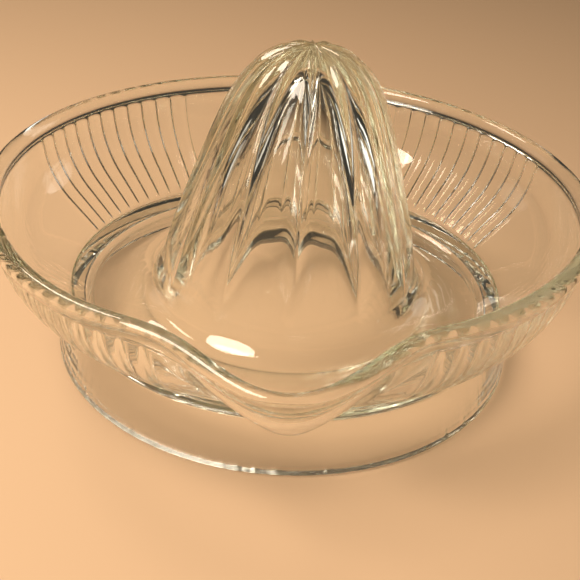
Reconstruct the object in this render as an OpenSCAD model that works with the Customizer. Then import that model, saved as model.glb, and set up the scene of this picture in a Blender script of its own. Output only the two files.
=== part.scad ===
// Glass citrus juicer (hand reamer): a ridged hollow cone standing in a
// shallow round bowl with a pouring spout, on a hollow foot ring.
// The real object is one glass pressing. It is divided here into its named
// regions, which meet face to face.
// Millimetres. +Z up, the spout towards -Y, the origin on the bowl's axis at
// the plane that the foot rests on.

/* [Rim] */
// Radius of the rim bead's centre line
rim_r = 75; // [73:0.5:78]
// Height of the centre of the bead's round top above the table
rim_h = 45.2; // [44:0.2:48]
// Radius of the bead's round top and bottom
bead_r = 2.1; // [1.8:0.1:2.4]
// Height of the bead's upright part, between its round top and bottom
bead_drop = 0.7; // [0.1:0.1:1]

/* [Foot] */
// Outer radius of the foot ring where it rests
foot_r = 62.3; // [61:0.1:64]
// Radius at which the foot ring meets the bowl
foot_top_r = 58.6; // [57.5:0.1:59.5]
// Height at which the foot ring meets the bowl
foot_h = 15.9; // [15:0.1:17]
// Thickness of the foot ring where it rests
foot_t = 3.6; // [3:0.1:4.4]
// Thickness of the foot ring's skirt where it meets the bowl
skirt_t = 2.6; // [2.2:0.1:3]

/* [Bowl] */
// Thickness of the bowl's wall
wall_t = 2.7; // [2.4:0.1:3.2]
// Slope of the lower wall above the horizontal, in degrees
wall_slope = 44; // [42:1:46]
// Height of the floor's upper face at the wall
floor_h = 13.5; // [12.5:0.1:14]
// Fall of the floor from the wall to the cone
floor_fall = 0.8; // [0:0.2:1.4]
// Thickness of the floor at the cone
floor_t = 4; // [3.4:0.1:4.4]
// Thickness of the floor at the wall
floor_edge_t = 3; // [2.6:0.1:3.4]

/* [Spout] */
// Outward reach of the spout beyond the rim's circle
spout_out = 9; // [7:0.5:11]
// Drop of the spout's lip below the rim
spout_dip = 6; // [4:0.5:8]
// Half of the angle that the spout takes of the rim, in degrees
spout_half = 22; // [20:0.5:22]
// Height at which the spout's fold starts on the wall
spout_foot_h = 19; // [18:0.5:21]

/* [Cone] */
// Height of the cone's tip above the table
cone_h = 80.6; // [76:0.2:86]
// Radius of the cone over its ridges, carried down to the floor
cone_r = 38.5; // [36:0.5:40]
// Outward sweep of the cone's foot beyond that radius
foot_flare = 7.8; // [5:0.2:8.4]
// Share of that radius which is lost on the way up to the dome
cone_taper = 0.59; // [0.5:0.01:0.62]
// Power that shapes the dome: higher is blunter
dome_power = 13; // [9:1:16]
// Number of ridges
ridge_count = 12; // [8:1:16]
// Depth of the flutes between the ridges
ridge_depth = 2.4; // [1.6:0.1:3.2]
// Power that shapes a flute: higher is flatter in its middle
ridge_power = 3.4; // [1.6:0.2:4]
// Thickness of the glass under the flutes
cone_t = 4; // [3.6:0.1:5.4]
// Sideways offset of the tip from the bowl's axis
cone_lean = 3; // [0:0.5:4]

/* [Flutes on the wall] */
// Angle from one rib to the next, in degrees
rib_pitch = 4; // [3.6:0.1:4.1]
// Ribs in each of the four panels
rib_count = 11; // [8:1:11]
// Angle of the two back panels' middles from the X axis, in degrees
back_panel_angle = 40; // [38:0.5:42]
// Angle of the two front panels' middles from the X axis, in degrees
front_panel_angle = 45.5; // [43:0.5:45.5]
// Width of the groove between two ribs, in degrees
groove_angle = 0.8; // [0.5:0.1:1.4]
// Height of a rib above the wall
rib_t = 0.45; // [0.3:0.05:0.8]
// Height at which the ribs end, just below the rim bead
rib_top_h = 42; // [38:0.5:42]

/* [Hidden] */
glass = [0.80, 0.84, 0.72, 0.55];
$fn = 180;
bead_fn = 48;
far = 200;                  // beyond every face
spout_angle = 270;          // the spout points along -Y

// The wall's outer face: a straight flank from the foot, then an arc that
// ends upright, just outside the bead's centre line and inside the bead.
wall_end_r = rim_r + 0.4;
wall_end_h = rim_h - bead_r + 0.3;
turn = 90 - wall_slope;
arc_rise = wall_end_h - foot_h - tan(wall_slope) * (wall_end_r - foot_top_r);
arc_r = arc_rise / (sin(turn) - tan(wall_slope) * (1 - cos(turn)));
arc_c = [wall_end_r - arc_r, wall_end_h];
arc_steps = 14;

// A point of the wall's arc that lies t inside the outer face.
function on_arc(a, t) = arc_c + (arc_r - t) * [cos(a), -sin(a)];
function arc_angle(i) = turn * (1 - i / arc_steps);
function wall_arc(t) = [for (i = [0:arc_steps]) on_arc(arc_angle(i), t)];
// Where the straight flank t inside the outer face reaches height h.
function flank_r(h, t) =
    on_arc(turn, t)[0] - (on_arc(turn, t)[1] - h) / tan(wall_slope);
// Radius of the face t inside the outer face, at height h.
function wall_r(h, t) =
    h < on_arc(turn, t)[1] ? flank_r(h, t)
    : arc_c[0] + sqrt(pow(arc_r - t, 2) - pow(min(h, arc_c[1]) - arc_c[1], 2));

// Smooth step from 0 at a to 1 at b.
function ramp(x, a, b) = let (u = min(1, max(0, (x - a) / (b - a)))) u * u * (3 - 2 * u);

// Foot ring: its inner face runs up to the bowl's flank, at cavity_h.
foot_round = 0.9;
foot_lean = (foot_r - foot_top_r) / foot_h;
cavity_h = (foot_r - skirt_t - foot_top_r + foot_h / tan(wall_slope))
    / (foot_lean + 1 / tan(wall_slope));
function foot_outer(h) = foot_r - foot_lean * h;

// Floor: it falls a little towards the cone.
floor_r = flank_r(floor_h, wall_t);
floor_in_h = floor_h - floor_fall;
under_h = floor_h - floor_edge_t;
cone_foot_h = floor_in_h - floor_t;
cone_foot_r = cone_r + foot_flare;

// Cone: the radius over the ridges at a share u of the height.
cone_rise = cone_h - floor_in_h;
function crest_r(u) = cone_r * (1 - cone_taper * u) * sqrt(max(0, 1 - pow(u, dome_power)));
// The ridges melt into a plain flared foot below, and into the tip above.
ridges_from = 0.08;
ridges_full = 0.36;
tip_zone_r = 4;
flare_h = 11;
flare_power = 4;
function ridge_share(u) = ramp(u, ridges_from, ridges_full);
function depth(u) = ridge_depth * ramp(crest_r(u), 0, tip_zone_r);
function flare(u) =
    (foot_flare + ridge_depth / 2) * pow(max(0, 1 - u * cone_rise / flare_h), flare_power);
// Sharp ridges with hollow flutes between: 0 on a ridge, 1 in a flute's middle.
function flute(a) =
    let (p = abs(((a - spout_angle) * ridge_count / 360 + 1000.5) % 1 - 0.5) * 2)
    1 - pow(1 - p, ridge_power);
function cone_face_r(u, a) =
    crest_r(u) + flare(u)
    - depth(u) * (ridge_share(u) * flute(a) + (1 - ridge_share(u)) / 2);
function cone_x(u) = cone_lean * u;
cone_levels = 22;
hollow_levels = 8;
ridge_steps = 12;
cone_steps = ridge_count * ridge_steps;
// Levels crowd towards the tip, where the dome turns over.
function level(i, n) = 1 - pow(1 - i / n, 2);

// Hollow under the cone, smooth inside, up to a share of the cone's height.
hollow_share = 0.86;
hollow_power = dome_power / 3;
hollow_base_r = cone_r - cone_t - ridge_depth;
hollow_rise = hollow_share * (cone_h - cone_foot_h);
function hollow_r(u) =
    hollow_base_r * (1 - cone_taper * u) * sqrt(max(0, 1 - pow(u, hollow_power)));

// Spout: how far its fold moves the wall out, and down, at angle a from the
// spout's middle and height h.
fold_rise = 10;
dip_from_h = spout_foot_h + 6;
out_power = 2.6;
dip_power = 1.4;
spout_steps = 28;
bead_steps = 14;
bead_from = -80;
bead_sweep = 290;
function fold_half(h) = spout_half * (0.5 + 0.5 * ramp(h, spout_foot_h, rim_h));
function fold(a, h, power) = pow(cos(90 * min(1, abs(a) / fold_half(h))), power);
function fold_out(a, h) =
    spout_out * fold(a, h, out_power) * ramp(h, spout_foot_h, spout_foot_h + fold_rise);
function fold_dip(a, h) = spout_dip * fold(a, h, dip_power) * ramp(h, dip_from_h, rim_h);
function bead_point(b) =
    [rim_r + bead_r * cos(b), rim_h + bead_r * sin(b) - (sin(b) < 0 ? bead_drop : 0)];

// The sector that the spout takes, above the height where its fold starts.
module spout_sector() {
    translate([0, 0, spout_foot_h])
        rotate([0, 0, spout_angle])
            linear_extrude(far)
                polygon([[0, 0], far * [cos(spout_half), -sin(spout_half)],
                         far * [cos(spout_half), sin(spout_half)]]);
}

// The bead's outline: round above and below, upright between.
module bead_outline() {
    translate([rim_r, rim_h]) circle(bead_r, $fn = bead_fn);
    translate([rim_r, rim_h - bead_drop]) circle(bead_r, $fn = bead_fn);
    translate([rim_r - bead_r, rim_h - bead_drop]) square([2 * bead_r, bead_drop]);
}

// A rounded corner of the foot's lower edge.
module foot_corner(r) {
    translate([r, foot_round])
        intersection() {
            circle(foot_round);
            translate([-far, -far]) square([2 * far, far]);
        }
}

module foot_ring() {
    color(glass)
        rotate_extrude() {
            polygon([[foot_r - foot_t, foot_round], [foot_r, foot_round],
                     [foot_top_r, foot_h], [foot_outer(cavity_h) - skirt_t, cavity_h]]);
            foot_corner(foot_r - foot_t + foot_round);
            foot_corner(foot_r - foot_round);
            translate([foot_r - foot_t + foot_round, 0])
                square([foot_t - 2 * foot_round, foot_round]);
        }
}

module bowl_floor() {
    color(glass)
        rotate_extrude()
            polygon([[cone_foot_r, floor_in_h], [cone_foot_r, cone_foot_h],
                     [flank_r(under_h, 0), under_h], [floor_r, floor_h]]);
}

module bowl_wall() {
    inner = wall_arc(wall_t);
    outer = wall_arc(0);
    color(glass)
        difference() {
            rotate_extrude()
                difference() {
                    polygon(concat([[floor_r, floor_h]], inner, [[rim_r, rim_h]],
                                   [for (i = [arc_steps:-1:0]) outer[i]],
                                   [[flank_r(under_h, 0), under_h]]));
                    bead_outline();
                }
            spout_sector();
        }
}

module rim_bead() {
    color(glass)
        rotate([0, 0, spout_angle + spout_half])
            rotate_extrude(angle = 360 - 2 * spout_half)
                bead_outline();
}

module pouring_spout() {
    arc_in = wall_arc(wall_t);
    arc_out = wall_arc(0);
    out_to_h = rim_h - bead_drop - bead_r + 0.2;
    in_from_h = rim_h - bead_drop - 1.5;
    // One radial section, before the fold: the outer face, the bead, the inner face.
    section = concat(
        [[wall_r(spout_foot_h, 0), spout_foot_h]],
        [for (p = arc_out) if (p[1] > spout_foot_h && p[1] < out_to_h) p],
        [for (i = [0:bead_steps]) bead_point(bead_from + bead_sweep * i / bead_steps)],
        [for (i = [arc_steps:-1:0]) if (arc_in[i][1] > spout_foot_h && arc_in[i][1] < in_from_h)
            arc_in[i]],
        [[wall_r(spout_foot_h, wall_t), spout_foot_h]]);
    n = len(section);
    points = [for (j = [0:spout_steps], p = section)
        let (a = spout_half * (2 * j / spout_steps - 1),
             r = p[0] + fold_out(a, p[1]),
             t = spout_angle + a)
        [r * cos(t), r * sin(t), p[1] - fold_dip(a, p[1])]];
    sides = [for (j = [0:spout_steps - 1], i = [0:n - 1])
        let (k = (i + 1) % n) [j * n + i, j * n + k, (j + 1) * n + k, (j + 1) * n + i]];
    color(glass)
        polyhedron(points, concat(sides, [[for (i = [n - 1:-1:0]) i]],
                                  [[for (i = [0:n - 1]) spout_steps * n + i]]));
}

// Faces between two rings of n points that start at a and b.
function band(a, b, n) = [for (j = [0:n - 1]) let (k = (j + 1) % n)
    each [[a + j, b + j, b + k], [a + j, b + k, a + k]]];

module reamer_cone() {
    n = cone_steps;
    outer = [for (i = [0:cone_levels - 1], j = [0:n - 1])
        let (u = level(i, cone_levels), a = 360 * j / n,
             r = i == 0 ? cone_foot_r : cone_face_r(u, a))
        [cone_x(u) + r * cos(a), r * sin(a), floor_in_h + u * cone_rise]];
    tip = [cone_x(1), 0, cone_h];
    inner = [for (i = [0:hollow_levels - 1], j = [0:n - 1])
        let (u = level(i, hollow_levels), a = 360 * j / n, r = hollow_r(u))
        [cone_x(u * hollow_share) + r * cos(a), r * sin(a), cone_foot_h + u * hollow_rise]];
    roof = [cone_x(hollow_share), 0, cone_foot_h + hollow_rise];
    foot = [for (j = [0:n - 1]) let (a = 360 * j / n)
        [cone_foot_r * cos(a), cone_foot_r * sin(a), cone_foot_h]];
    at_tip = cone_levels * n;
    at_inner = at_tip + 1;
    at_roof = at_inner + hollow_levels * n;
    at_foot = at_roof + 1;
    top_outer = (cone_levels - 1) * n;
    top_inner = at_inner + (hollow_levels - 1) * n;
    faces = concat(
        [for (i = [0:cone_levels - 2]) each band(i * n, (i + 1) * n, n)],
        [for (j = [0:n - 1]) [top_outer + j, at_tip, top_outer + (j + 1) % n]],
        [for (i = [hollow_levels - 1:-1:1]) each band(at_inner + i * n, at_inner + (i - 1) * n, n)],
        [for (j = [0:n - 1]) [top_inner + j, top_inner + (j + 1) % n, at_roof]],
        band(at_foot, 0, n),
        band(at_inner, at_foot, n));
    color(glass) polyhedron(concat(outer, [tip], inner, [roof], foot), faces);
}

// One panel of upright ribs on the outside of the wall.
module flutes(middle) {
    skin = [for (i = [0:arc_steps]) if (on_arc(arc_angle(i), 0)[1] < rib_top_h) arc_angle(i)];
    start_out = 0.8;        // from the foot's top to the ribs' lower ends
    start = [foot_top_r + start_out, foot_h + start_out * tan(wall_slope)];
    lean = [sin(wall_slope), -cos(wall_slope)];
    outline = concat([start], [for (a = skin) on_arc(a, 0)],
                     [[wall_r(rib_top_h, 0), rib_top_h]],
                     [for (i = [len(skin) - 1:-1:0]) on_arc(skin[i], -rib_t)],
                     [start + rib_t * lean]);
    color(glass)
        for (i = [0:rib_count - 1])
            rotate([0, 0, middle + rib_pitch * (i - rib_count / 2) + groove_angle / 2])
                rotate_extrude(angle = rib_pitch - groove_angle) polygon(outline);
}

module flutes_front_left() flutes(180 + front_panel_angle);
module flutes_front_right() flutes(-front_panel_angle);
module flutes_back_left() flutes(180 - back_panel_angle);
module flutes_back_right() flutes(back_panel_angle);

foot_ring();
bowl_floor();
bowl_wall();
rim_bead();
pouring_spout();
reamer_cone();
flutes_front_left();
flutes_front_right();
flutes_back_left();
flutes_back_right();
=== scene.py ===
"""A clear pressed-glass citrus juicer: a ridged hollow cone in a shallow spouted bowl on a foot ring.

The whole object is one glass pressing, so it is made as one closed mesh. Its half outline is walked
from the roof of the hollow under the cone, out along the underside, round the foot, up the fluted wall,
over the rim bead, down the inner wall, across the floor and up the ridged cone to its tip. Each point of
that walk becomes a ring of vertices. Lengths are in millimetres until the mesh is made.
"""

import math

import bpy
import numpy as np
from mathutils import Matrix, Vector, noise


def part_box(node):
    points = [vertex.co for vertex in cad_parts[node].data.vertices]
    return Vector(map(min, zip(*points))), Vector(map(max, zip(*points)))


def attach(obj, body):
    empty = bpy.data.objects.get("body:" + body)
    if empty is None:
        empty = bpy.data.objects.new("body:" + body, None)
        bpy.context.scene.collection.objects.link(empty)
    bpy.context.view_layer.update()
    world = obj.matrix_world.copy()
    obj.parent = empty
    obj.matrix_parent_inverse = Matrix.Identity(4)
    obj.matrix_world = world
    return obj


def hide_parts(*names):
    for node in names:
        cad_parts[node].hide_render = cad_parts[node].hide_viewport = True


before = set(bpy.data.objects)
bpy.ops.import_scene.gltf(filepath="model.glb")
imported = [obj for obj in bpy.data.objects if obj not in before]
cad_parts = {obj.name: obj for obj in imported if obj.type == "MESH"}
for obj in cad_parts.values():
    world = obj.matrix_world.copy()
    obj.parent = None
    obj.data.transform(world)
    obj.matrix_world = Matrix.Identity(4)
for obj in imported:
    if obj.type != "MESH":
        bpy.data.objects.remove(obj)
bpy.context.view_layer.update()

MM = 0.001
FINE = 720                      # columns of the foot and the ribbed wall
COARSE = 360                    # columns of the rim, the inner wall, the floor and the cone
PLAIN = 180                     # columns of the smooth hollow under the cone
SPOUT_ANGLE = 270.0


# ---------------------------------------------------------------- sizes from the frame

def box_mm(node):
    """The lowest and highest corners of a CAD node, in millimetres."""
    low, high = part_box(node)
    return np.array(low) / MM, np.array(high) / MM


_, BEAD_HIGH = box_mm("rim_bead")
_, FOOT_HIGH = box_mm("foot_ring")
_, FLOOR_HIGH = box_mm("bowl_floor")
CONE_LOW, CONE_HIGH = box_mm("reamer_cone")
SPOUT_LOW, _ = box_mm("pouring_spout")

BEAD_R = 2.1
BEAD_DROP = 0.7                 # upright stretch between the bead's round top and bottom
BEAD_TURNS = (-74, 200, 16)     # first and last angle of the bead's section, and the steps between them
RIM_R = BEAD_HIGH[0] - BEAD_R
RIM_H = BEAD_HIGH[2] - BEAD_R
FOOT_R = FOOT_HIGH[0]
FOOT_H = FOOT_HIGH[2]
FLOOR_H = FLOOR_HIGH[2]
CONE_FOOT_H = CONE_LOW[2]
CONE_H = CONE_HIGH[2]
CONE_FOOT_R = -CONE_LOW[0]
SPOUT_OUT = -SPOUT_LOW[1] - RIM_R - BEAD_R

FOOT_TOP_R = 58.6
FOOT_T = 3.6                    # where the foot rests
SKIRT_T = 2.6                   # where the foot meets the bowl
FOOT_ROUND = 0.9
WORN_H = 2.6                    # the foot is chipped and ground below this height
CHIP_OUTSIDE = (3.7, 0.5, 1.2)  # seed, depth and height of the chips on the foot's outer edge
CHIP_INSIDE = (9.2, 1.3, 2.4)   # the same for its inner edge
GRIND_DEPTH = 0.1               # depth of the fine grinding marks between the chips
GRIND_GRAIN, CHIP_GRAIN, PATCH_GRAIN = 70, 24, 6      # noise cells along the edge, finest first
WALL_T = 2.7
WALL_SLOPE = math.radians(44)
WALL_LEVELS = 26                # levels up the curved part of the wall's outer face
INNER_LEVELS = 20               # and down its inner face
FLOOR_CORNER = 2.6              # round of the corner between the wall and the floor
FLOOR_FALL = 0.8
FLOOR_EDGE_T = 3.0              # the floor is thinner at the wall than at the cone
UNDER_H = FLOOR_H - FLOOR_EDGE_T
FLOOR_IN_H = FLOOR_H - FLOOR_FALL
SPOUT_DIP = 5.7
SPOUT_HALF = 22.0
DIP_HALF = 25.0
DIP_MIDDLE = -1.5               # the lip's lowest point is a little to one side
SPOUT_FOOT_H = 19.0             # the spout starts to leave the bowl's wall here
SPOUT_REACH = 10                # and is fully out this much higher
SPOUT_POWER = 2.6               # higher is a sharper V
DIP_START = 6                   # the lip's dip starts this far above the spout's foot
FOOT_FLARE = 7.8                # how far the cone's foot sweeps out
FLARE_H = 11.0
FLARE_POWER = 4
CONE_R = CONE_FOOT_R - FOOT_FLARE
CONE_TAPER = 0.59
DOME_POWER = 13
CONE_T = 4.0
CONE_LEAN = 3.0
RIDGES = 12
RIDGE_DEPTH = 2.4
RIDGE_POWER = 3.4               # higher is a flatter flute
RIDGE_START = (0.08, 0.36)      # share of the cone's height over which the ridges come up
CONE_LEVELS = 46
CONE_CROWDING = 1.7             # higher puts more of the levels near the tip
HOLLOW_SHARE = 0.86             # height of the hollow under the cone, as a share of the cone's
HOLLOW_R = CONE_R - CONE_T - RIDGE_DEPTH
HOLLOW_MOUTH = 2.2              # how far the hollow's lower edge is rounded out
HOLLOW_MOUTH_H = 5
HOLLOW_LEVELS = 30
RIB_T = 0.3                     # how far the ribs stand out of the plain wall
GROOVE_T = 0.7                  # how deep the grooves between them go into it
GROOVE_POWER = 5                # higher is a narrower groove
RIB_PITCH = 4.0                 # degrees
RIB_COUNT = 11
PANELS = (40.0, 140.0, 225.5, 314.5)
SAG = (2.7, -45, 30)            # how far the rim sags at one side of the spout, the place and the width
LIFT = (0.9, 55, 26)            # how far it rises at the other side


# ---------------------------------------------------------------- shared curves

def ramp(x, a, b):
    """Smooth step from 0 at a to 1 at b."""
    u = np.clip((x - a) / (b - a), 0, 1)
    return u * u * (3 - 2 * u)


def rounded(corners, step):
    """A polyline (r, z, radius) with each corner turned into an arc of its radius, in short steps."""
    points = [np.array(corners[0][:2], float)]
    for before, corner, after in zip(corners, corners[1:], corners[2:]):
        at = np.array(corner[:2], float)
        u = np.array(before[:2]) - at
        v = np.array(after[:2]) - at
        u, v = u / np.linalg.norm(u), v / np.linalg.norm(v)
        half = math.acos(np.clip(u @ v, -1, 1)) / 2
        radius = corner[2]
        if radius <= 0 or half > math.pi / 2 - 0.01:
            points.append(at)
            continue
        centre = at + (u + v) / np.linalg.norm(u + v) * radius / math.sin(half)
        start = at + u * radius / math.tan(half) - centre
        end = at + v * radius / math.tan(half) - centre
        turn = math.pi - 2 * half
        count = max(2, math.ceil(turn * radius / step))
        for i in range(count + 1):
            s = i / count
            points.append(centre + (math.sin((1 - s) * turn) * start + math.sin(s * turn) * end)
                          / math.sin(turn))
    points.append(np.array(corners[-1][:2], float))
    return points


def filled(points, step):
    """The same polyline with no stretch longer than step."""
    out = [points[0]]
    for a, b in zip(points, points[1:]):
        count = max(1, math.ceil(np.linalg.norm(b - a) / step - 1e-6))
        out += [a + (b - a) * i / count for i in range(1, count + 1)]
    return out


def angles(count):
    """The directions of a ring's columns, in radians."""
    return np.arange(count) * 2 * math.pi / count


def from_spout(theta):
    """Degrees from the spout's middle, from -180 to 180."""
    return (np.degrees(theta) - SPOUT_ANGLE + 180) % 360 - 180


# ---------------------------------------------------------------- wall outline

WALL_END = np.array([RIM_R + 0.4, RIM_H - BEAD_R + 0.3])
TURN = math.pi / 2 - WALL_SLOPE
ARC_R = ((WALL_END[1] - FOOT_H - math.tan(WALL_SLOPE) * (WALL_END[0] - FOOT_TOP_R))
         / (math.sin(TURN) - math.tan(WALL_SLOPE) * (1 - math.cos(TURN))))
ARC_C = WALL_END - np.array([ARC_R, 0])


def on_arc(angle, inset):
    """A point of the wall's curved part, inset from the outer face."""
    return ARC_C + (ARC_R - inset) * np.array([math.cos(angle), -math.sin(angle)])


def flank_r(height, inset):
    """Radius of the wall's straight part at a height, inset from the outer face."""
    r, z = on_arc(TURN, inset)
    return r - (z - height) / math.tan(WALL_SLOPE)


def foot_outer(height):
    """Radius of the foot ring's outer face at a height."""
    return FOOT_R - (FOOT_R - FOOT_TOP_R) / FOOT_H * height


FLOOR_R = flank_r(FLOOR_H, WALL_T)
UNDER_R = flank_r(UNDER_H, 0)


def floor_z(r):
    """Height of the floor's upper face, which falls towards the cone."""
    return FLOOR_IN_H + FLOOR_FALL * max(0, r - CONE_FOOT_R) / (FLOOR_R - CONE_FOOT_R)


def under_z(r):
    """Height of the floor's underside."""
    return CONE_FOOT_H + (UNDER_H - CONE_FOOT_H) * max(0, r - CONE_FOOT_R) / (UNDER_R - CONE_FOOT_R)


# ---------------------------------------------------------------- the spout's fold

def swelling(aside, height, middle, width):
    """A rise of the rim centred some degrees from the spout."""
    return height * np.exp(-((aside - middle) / width) ** 2)


def folded(theta, r, z):
    """Moves a ring of wall points out and down where the spout is."""
    narrow = 0.5 + 0.5 * ramp(z, SPOUT_FOOT_H, RIM_H)
    aside = from_spout(theta)
    bulge = np.cos(math.pi / 2 * np.minimum(1, np.abs(aside) / (SPOUT_HALF * narrow))) ** SPOUT_POWER
    drop = np.cos(math.pi / 2 * np.minimum(1, np.abs(aside - DIP_MIDDLE) / (DIP_HALF * narrow))) ** 2
    out = SPOUT_OUT * bulge * ramp(z, SPOUT_FOOT_H, SPOUT_FOOT_H + SPOUT_REACH)
    dip = SPOUT_DIP * drop * ramp(z, SPOUT_FOOT_H + DIP_START, RIM_H)
    uneven = swelling(aside, *LIFT) - swelling(aside, *SAG)
    return r + out, z - dip + uneven * ramp(z, FOOT_H + 4, RIM_H)


# ---------------------------------------------------------------- regions of the outline

def ribs(theta):
    """How far the wall's face stands out: ribs proud of the plain wall, grooves below it."""
    lift = np.zeros_like(theta)
    degrees = np.degrees(theta)
    half = RIB_PITCH * RIB_COUNT / 2
    for middle in PANELS:
        across = (degrees - middle + 180) % 360 - 180
        off = np.abs((across / RIB_PITCH + RIB_COUNT / 2) % 1 - 0.5) * 2      # 1 in a groove
        rib = (RIB_T + GROOVE_T) * (1 - off ** GROOVE_POWER) - GROOVE_T
        edge = -GROOVE_T * np.clip(1 - (np.abs(across) - half) / 0.9, 0, 1)   # half a groove outside
        lift = np.where(np.abs(across) <= half, rib, lift)
        lift = np.where((np.abs(across) > half) & (np.abs(across) < half + 1), edge, lift)
    return lift


def chips(theta, seed, size):
    """Depth of the small chips and grinding marks along one edge of the foot."""
    depth = np.zeros_like(theta)
    for i, t in enumerate(theta):
        x, y = math.cos(t), math.sin(t)
        coarse = noise.noise(Vector((x * PATCH_GRAIN, y * PATCH_GRAIN, seed)))
        fine = noise.noise(Vector((x * GRIND_GRAIN, y * GRIND_GRAIN, seed + 4)))
        sharp = noise.noise(Vector((x * CHIP_GRAIN, y * CHIP_GRAIN, seed + 8)))
        depth[i] = GRIND_DEPTH * abs(fine) + size * max(0, sharp - 0.2) * max(0, 0.7 + 1.6 * coarse)
    return depth


def ring(theta, r, z, lean=0):
    """A ring of vertices round the bowl's axis, moved aside by lean."""
    return r * np.cos(theta) + lean, r * np.sin(theta), z + 0 * theta


def hollow_rows(theta):
    """The hollow under the cone, from just below its roof down to the underside."""
    rise = CONE_H - CONE_FOOT_H
    rows = []
    for i in range(HOLLOW_LEVELS - 1, -1, -1):
        u = 1 - (1 - i / HOLLOW_LEVELS) ** 2
        r = HOLLOW_R * (1 - CONE_TAPER * u) * math.sqrt(1 - u ** (DOME_POWER / 3))
        share = u * HOLLOW_SHARE
        mouth = HOLLOW_MOUTH * (1 - ramp(share * rise, 0, HOLLOW_MOUTH_H)) ** 2
        rows.append(ring(theta, r + mouth, CONE_FOOT_H + share * rise, CONE_LEAN * share))
    return rows


def underside_rows(theta):
    """The flat underside, from the hollow's mouth to below the cone's flare."""
    start = HOLLOW_R + HOLLOW_MOUTH
    end = CONE_FOOT_R
    count = 4
    radii = [start + (end - start) * i / count for i in range(1, count + 1)]
    return [ring(theta, r, under_z(r)) for r in radii]


def foot_rows(theta):
    """Inner face, lower edge and outer face of the foot ring."""
    # the skirt's inner face meets the underside of the bowl's flank
    slope = (FOOT_R - FOOT_TOP_R) / FOOT_H
    flank = 1 / math.tan(WALL_SLOPE)
    top = (FOOT_R - SKIRT_T - FOOT_TOP_R + FOOT_H / math.tan(WALL_SLOPE)) / (slope + flank)
    inner_lean = (foot_outer(top) - SKIRT_T - FOOT_R + FOOT_T) / top
    corners = [(CONE_FOOT_R + 1, under_z(CONE_FOOT_R + 1), 0),
               (UNDER_R, UNDER_H, 0.8),
               (foot_outer(top) - SKIRT_T, top, 1.0),
               (FOOT_R - FOOT_T + inner_lean * WORN_H, WORN_H, 0),
               (FOOT_R - FOOT_T, 0, FOOT_ROUND),
               (FOOT_R, 0, FOOT_ROUND),
               (foot_outer(WORN_H), WORN_H, 0),
               (foot_outer(FOOT_H - 1.5), FOOT_H - 1.5, 0)]
    out_seed, out_depth, out_h = CHIP_OUTSIDE
    in_seed, in_depth, in_h = CHIP_INSIDE
    outside, inside = chips(theta, out_seed, out_depth), chips(theta, in_seed, in_depth)
    middle = FOOT_R - FOOT_T / 2
    rows = []
    outline = rounded(corners, 0.35)
    low = [i for i, p in enumerate(outline) if p[1] < WORN_H + 0.01]
    outline = outline[:low[0]] + filled(outline[low[0]:low[-1] + 1], 0.6) + outline[low[-1] + 1:]
    for r, z in outline:
        side = ramp(r, middle - 1, middle + 1)
        depth = inside * (1 - side) * max(0, 1 - z / in_h) + outside * side * max(0, 1 - z / out_h)
        rows.append(ring(theta, r + (middle - r) * 0.4 * depth, z + depth * max(0, 1 - z / 2)))
    return rows


def wall_rows(theta):
    """The outer wall with its ribs, from the foot to under the rim bead."""
    stands = ribs(theta)
    flank = [(foot_outer(FOOT_H - 1), FOOT_H - 1, 0), (FOOT_TOP_R, FOOT_H, 1.2),
             tuple(on_arc(TURN, 0)) + (0,)]
    points = filled(rounded(flank, 0.5), 1.8)
    arc = [on_arc(TURN * (1 - i / WALL_LEVELS), 0) for i in range(1, WALL_LEVELS + 1)]
    under_bead = RIM_H - BEAD_DROP - BEAD_R
    arc = [p for p in arc if p[1] < under_bead - 0.1]
    points = points + arc
    rows = []
    for i, (r, z) in enumerate(points):
        before, after = points[max(0, i - 1)], points[min(len(points) - 1, i + 1)]
        along = (after - before) / np.linalg.norm(after - before)
        low = FOOT_H + 0.4
        lift = stands * ramp(z, low, low + 1.4)
        out_r, out_z = folded(theta, r + lift * along[1], z - lift * along[0])
        rows.append(ring(theta, out_r, out_z))
    return rows


def bead_rows(theta):
    """The rim bead, from under its outside over its top to its inside."""
    first, last, count = BEAD_TURNS
    rows = []
    for i in range(count + 1):
        turn = math.radians(first + (last - first) * i / count)
        drop = BEAD_DROP if math.sin(turn) < 0 else 0
        r, z = folded(theta, RIM_R + BEAD_R * math.cos(turn) + 0 * theta,
                      RIM_H - drop + BEAD_R * math.sin(turn) + 0 * theta)
        rows.append(ring(theta, r, z))
    return rows


def inner_rows(theta):
    """The inner wall, from the bead down to the floor."""
    arc = [on_arc(TURN * i / INNER_LEVELS, WALL_T) for i in range(1, INNER_LEVELS + 1)]
    arc = [p for p in arc if p[1] < RIM_H - 3.0]
    tail = rounded([tuple(on_arc(TURN, WALL_T)) + (0,), (FLOOR_R, FLOOR_H, FLOOR_CORNER),
                    (CONE_FOOT_R + 2, floor_z(CONE_FOOT_R + 2), 0)], 0.4)
    rows = []
    for r, z in filled(arc + tail[1:], 2.4):
        out_r, out_z = folded(theta, r + 0 * theta, z + 0 * theta)
        rows.append(ring(theta, out_r, out_z))
    return rows


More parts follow.
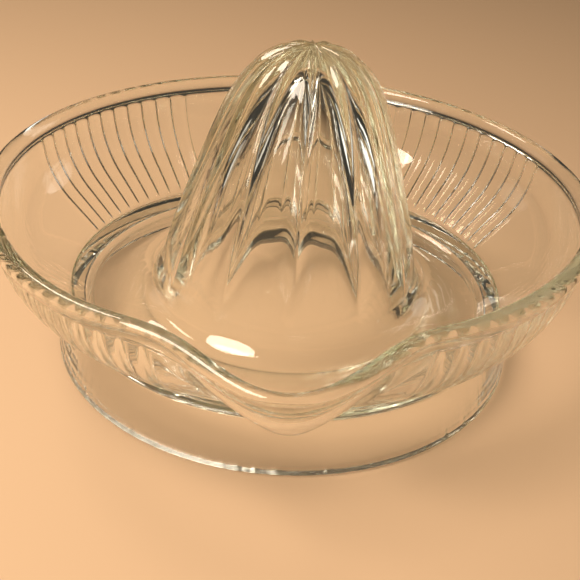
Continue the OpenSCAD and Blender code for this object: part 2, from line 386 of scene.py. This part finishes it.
def cone_rows(theta):
    """The floor round the cone, the flare at its foot, and its ridges up to just below the tip."""
    rows = []
    rise = CONE_H - FLOOR_IN_H
    rows.append(ring(theta, CONE_FOOT_R + 1, floor_z(CONE_FOOT_R + 1)))
    pitch = (from_spout(theta) * RIDGES / 360 + 0.5) % 1 - 0.5
    flute = 1 - (1 - np.abs(pitch) * 2) ** RIDGE_POWER
    for i in range(CONE_LEVELS):
        u = 1 - (1 - i / CONE_LEVELS) ** CONE_CROWDING
        crest = CONE_R * (1 - CONE_TAPER * u) * math.sqrt(1 - u ** DOME_POWER)
        fade = ramp(u, *RIDGE_START)
        depth = RIDGE_DEPTH * ramp(crest, 0, 4)
        swell = (FOOT_FLARE + RIDGE_DEPTH / 2) * max(0, 1 - u * rise / FLARE_H) ** FLARE_POWER
        r = crest + swell - depth * (fade * flute + (1 - fade) * 0.5)
        rows.append(ring(theta, r, FLOOR_IN_H + u * rise, CONE_LEAN * u))
    return rows


# ---------------------------------------------------------------- the mesh

def glass_mesh():
    """Joins the rings into one closed mesh, with a 2:1 seam where the column count changes."""
    plain, coarse, fine = angles(PLAIN), angles(COARSE), angles(FINE)
    sections = [hollow_rows(plain), underside_rows(coarse), foot_rows(fine) + wall_rows(fine),
                bead_rows(coarse) + inner_rows(coarse) + cone_rows(coarse)]
    points = [(CONE_LEAN * HOLLOW_SHARE, 0, CONE_FOOT_H + HOLLOW_SHARE * (CONE_H - CONE_FOOT_H))]
    faces = []
    last = None                 # the ring before: its first vertex and its count
    for section in sections:
        for row in section:
            first, count = len(points), len(row[0])
            points.extend(zip(*row))
            if last is None:
                faces += [(0, first + (j + 1) % count, first + j) for j in range(count)]
            elif last[1] == count:
                faces += [(last[0] + j, last[0] + (j + 1) % count, first + (j + 1) % count, first + j)
                          for j in range(count)]
            elif last[1] < count:
                for j in range(last[1]):
                    a, b = last[0] + j, last[0] + (j + 1) % last[1]
                    c, d, e = first + 2 * j, first + 2 * j + 1, first + (2 * j + 2) % count
                    faces += [(a, d, c), (a, b, d), (b, e, d)]
            else:
                for j in range(count):
                    a, b = first + j, first + (j + 1) % count
                    c, d, e = last[0] + 2 * j, last[0] + 2 * j + 1, last[0] + (2 * j + 2) % last[1]
                    faces += [(c, d, a), (d, b, a), (d, e, b)]
            last = (first, count)
    tip = len(points)
    points.append((CONE_LEAN, 0, CONE_H))
    faces += [(last[0] + j, last[0] + (j + 1) % last[1], tip) for j in range(last[1])]
    mesh = bpy.data.meshes.new("juicer_glass")
    mesh.from_pydata([Vector(p) * MM for p in points], [], faces)
    mesh.update()
    mesh.shade_smooth()
    return mesh


# ---------------------------------------------------------------- material

GLASS_IOR = 1.51
GLASS_COLOUR = (0.99, 0.995, 0.98, 1)
TINT = (0.77, 0.82, 0.66, 1)    # the yellow-green that thick glass takes on
TINT_DENSITY = 12
WORN_SIDE = (-0.55, -0.83, 0)   # the part of the foot that is ground rough by use
WORN_FROM, WORN_TO = 0.035, 0.060             # metres out along that side
GROUND_TOP, GROUND_FULL = 0.0012, 0.0004      # metres above the table
GROUND_ROUGHNESS = 0.2
SMEAR_ROUGHNESS = 0.012
SMEAR_SPREAD = (0.5, 0.8)       # where in the noise the smears start and are full
WAVES, PITS, SMEARS = (70, 2), (1400, 4), (45, 6)     # scale and detail of each noise
WAVE_BUMP, STREAK_BUMP, PIT_BUMP = 0.00002, 0.000012, 0.00015
STREAKS_AROUND, STREAKS_UP = 30, 40           # noise cells round a radian, and up a metre
SHADOW_SLANT = (0.2, 1.0)       # from facing the lamp to edge-on
SHADOW_PASSED = (1.04, 0.5)     # the light that gets through there


class Graph:
    """Short ways to add and join the nodes of one material."""

    def __init__(self, mat):
        self.nodes, self.links = mat.node_tree.nodes, mat.node_tree.links
        self.nodes.clear()

    def add(self, kind, operation=None, **values):
        node = self.nodes.new("ShaderNode" + kind)
        if operation:
            node.operation = operation
        for name, value in values.items():
            node.inputs[name.replace("_", " ")].default_value = value
        return node

    def join(self, source, target):
        self.links.new(source, target)

    def spread(self, source, low, high, to_low=0.0, to_high=1.0):
        """Maps a value from one range to another, held at its ends."""
        node = self.add("MapRange", From_Min=low, From_Max=high, To_Min=to_low, To_Max=to_high)
        self.join(source, node.inputs["Value"])
        return node.outputs["Result"]

    def noise(self, place, scale, detail):
        node = self.add("TexNoise", Scale=scale, Detail=detail)
        self.join(place, node.inputs["Vector"])
        return node.outputs["Fac"]

    def vector(self, operation, source, by=None):
        node = self.add("VectorMath", operation)
        self.join(source, node.inputs[0])
        if by is not None:
            node.inputs[1].default_value = by
        return node


def worn_edge(graph, place):
    """1 where the foot's edge is ground by use, below about a millimetre and on its worn side."""
    heights = graph.add("SeparateXYZ")
    graph.join(place, heights.inputs[0])
    side = graph.vector("DOT_PRODUCT", place, WORN_SIDE)
    edge = graph.add("Math", "MULTIPLY")
    graph.join(graph.spread(heights.outputs["Z"], GROUND_TOP, GROUND_FULL), edge.inputs[0])
    graph.join(graph.spread(side.outputs["Value"], WORN_FROM, WORN_TO), edge.inputs[1])
    return edge.outputs[0]


def mould_streaks(graph, place):
    """Streaks that run up the cone and the wall, narrow round the axis and long upwards."""
    flat = graph.vector("MULTIPLY", place, (1, 1, 0))
    around = graph.vector("NORMALIZE", flat.outputs[0])
    spread = graph.vector("SCALE", around.outputs[0])
    spread.inputs["Scale"].default_value = STREAKS_AROUND
    rising = graph.vector("MULTIPLY_ADD", place, (0, 0, STREAKS_UP))
    graph.join(spread.outputs[0], rising.inputs[2])
    return graph.noise(rising.outputs[0], 1, 1)


def shadow_pass(graph):
    """What shadow rays meet: slanted faces hold more light back, and the others gather a little."""
    slant = graph.add("LayerWeight", Blend=0.5)
    through = graph.add("BsdfTransparent")
    passed = graph.spread(slant.outputs["Facing"], *SHADOW_SLANT, *SHADOW_PASSED)
    graph.join(passed, through.inputs["Color"])
    return through.outputs["BSDF"]


def glass_material():
    mat = bpy.data.materials.new("pressed_glass")
    mat.use_nodes = True
    graph = Graph(mat)
    out = graph.add("OutputMaterial")
    shader = graph.add("BsdfPrincipled", Base_Color=GLASS_COLOUR, IOR=GLASS_IOR, Transmission_Weight=1.0)
    path = graph.add("LightPath")
    mix = graph.add("MixShader")
    graph.join(path.outputs["Is Shadow Ray"], mix.inputs["Fac"])
    graph.join(shader.outputs["BSDF"], mix.inputs[1])
    graph.join(shadow_pass(graph), mix.inputs[2])
    graph.join(mix.outputs["Shader"], out.inputs["Surface"])
    place = graph.add("TexCoord").outputs["Object"]
    edge = worn_edge(graph, place)

    bump = None
    for source, distance, mask in ((graph.noise(place, *WAVES), WAVE_BUMP, None),
                                   (mould_streaks(graph, place), STREAK_BUMP, None),
                                   (graph.noise(place, *PITS), PIT_BUMP, edge)):
        layer = graph.add("Bump", Distance=distance, Strength=1)
        graph.join(source, layer.inputs["Height"])
        if mask is not None:
            graph.join(mask, layer.inputs["Strength"])
        if bump is not None:
            graph.join(bump.outputs["Normal"], layer.inputs["Normal"])
        bump = layer
    graph.join(bump.outputs["Normal"], shader.inputs["Normal"])

    # faint smears on the polished faces, and the ground edge
    polish = graph.spread(graph.noise(place, *SMEARS), *SMEAR_SPREAD, 0.0, SMEAR_ROUGHNESS)
    rough = graph.add("Math", "MULTIPLY_ADD")
    rough.inputs[1].default_value = GROUND_ROUGHNESS
    graph.join(edge, rough.inputs[0])
    graph.join(polish, rough.inputs[2])
    graph.join(rough.outputs[0], shader.inputs["Roughness"])

    tint = graph.add("VolumeAbsorption", Color=TINT, Density=TINT_DENSITY)
    graph.join(tint.outputs["Volume"], out.inputs["Volume"])
    return mat


# ---------------------------------------------------------------- stage

FLOOR_HALF = 8.0                # metres
FLOOR_COLOUR = (0.82, 0.55, 0.34, 1)
FLOOR_GAP = 0.0001              # keeps the floor clear of the foot's lower face
ROOM_COLOUR = (0.85, 0.79, 0.67, 1)
ROOM_STRENGTH = 0.05
WARM = (1.0, 0.875, 0.72)
PALE = (1.0, 0.95, 0.86)
# name, compass angle, height angle, distance, width, power and colour. The two dim boards stand low
# behind the object, where the sides of the cone bend them into view.
LAMPS = (("main", -147, 57, 0.58, 0.28, 3.3, WARM),
         ("back", 138, 48, 1.15, 0.3, 2.9, WARM),
         ("board_right", 35, 12, 1.3, 0.44, 0.7, PALE),
         ("board_left", 150, 16, 1.3, 0.4, 0.3, WARM))


def floor_material():
    mat = bpy.data.materials.new("pale_floor")
    mat.use_nodes = True
    shader = mat.node_tree.nodes["Principled BSDF"]
    shader.inputs["Base Color"].default_value = FLOOR_COLOUR
    shader.inputs["Roughness"].default_value = 0.85
    shader.inputs["Specular IOR Level"].default_value = 0.15
    return mat


def add_floor():
    mesh = bpy.data.meshes.new("floor")
    corners = [(x * FLOOR_HALF, y * FLOOR_HALF, -FLOOR_GAP)
               for x, y in ((-1, -1), (1, -1), (1, 1), (-1, 1))]
    mesh.from_pydata(corners, [], [(0, 1, 2, 3)])
    mesh.materials.append(floor_material())
    piece = bpy.data.objects.new("floor", mesh)
    bpy.context.scene.collection.objects.link(piece)


def add_light(name, azimuth, elevation, distance, size, power, colour):
    """A soft area light that faces the object from a compass angle and a height angle."""
    data = bpy.data.lights.new(name, "AREA")
    data.shape = "DISK"
    data.size = size
    data.energy = power
    data.color = colour
    lamp = bpy.data.objects.new(name, data)
    a, e = math.radians(azimuth), math.radians(elevation)
    direction = Vector((math.cos(e) * math.cos(a), math.cos(e) * math.sin(a), math.sin(e)))
    lamp.location = direction * distance
    lamp.rotation_euler = direction.to_track_quat("Z", "Y").to_euler()
    bpy.context.scene.collection.objects.link(lamp)


def add_world():
    world = bpy.data.worlds.new("studio")
    world.use_nodes = True
    bpy.context.scene.world = world
    light = world.node_tree.nodes["Background"]
    light.inputs["Color"].default_value = ROOM_COLOUR
    light.inputs["Strength"].default_value = ROOM_STRENGTH


# ---------------------------------------------------------------- camera

CAM_DISTANCE = 252.95
CAM_ELEVATION = math.radians(34.17)
CAM_TURN = math.radians(-1.65)
CAM_ROLL = math.radians(3.785)
CAM_AIM = Vector((1.28, 0, 11.27))
CAM_LENS = 54.83


def add_camera():
    data = bpy.data.cameras.new("camera")
    data.lens = CAM_LENS
    data.sensor_width = 36
    data.clip_start = 0.01
    camera = bpy.data.objects.new("camera", data)
    place = Vector((0, -CAM_DISTANCE * math.cos(CAM_ELEVATION), CAM_DISTANCE * math.sin(CAM_ELEVATION)))
    forward = (CAM_AIM - place).normalized()
    right = forward.cross(Vector((0, 0, 1))).normalized()
    up = right.cross(forward)
    turned_right = right * math.cos(CAM_ROLL) + up * math.sin(CAM_ROLL)
    turned_up = up * math.cos(CAM_ROLL) - right * math.sin(CAM_ROLL)
    axes = Matrix((turned_right, turned_up, -forward)).transposed().to_4x4()
    camera.matrix_world = Matrix.Rotation(CAM_TURN, 4, "Z") @ Matrix.Translation(place * MM) @ axes
    bpy.context.scene.collection.objects.link(camera)
    bpy.context.scene.camera = camera


# ---------------------------------------------------------------- the scene

def add_glass():
    glass = bpy.data.objects.new("juicer_glass", glass_mesh())
    bpy.context.scene.collection.objects.link(glass)
    glass.data.materials.append(glass_material())
    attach(glass, "root")
    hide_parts("foot_ring", "bowl_floor", "bowl_wall", "rim_bead", "pouring_spout",
                "reamer_cone", "flutes_front_left", "flutes_front_right", "flutes_back_left",
                "flutes_back_right")


def set_light_paths():
    """Enough bounces for light to cross many walls of glass, and no caustics."""
    scene = bpy.context.scene
    scene.view_settings.view_transform = "Standard"
    scene.cycles.caustics_reflective = False
    scene.cycles.caustics_refractive = False
    scene.cycles.max_bounces = 32
    scene.cycles.glossy_bounces = 32
    scene.cycles.transmission_bounces = 32
    scene.cycles.transparent_max_bounces = 16


add_camera()
add_floor()
add_world()
for lamp in LAMPS:
    add_light(*lamp)
add_glass()
set_light_paths()
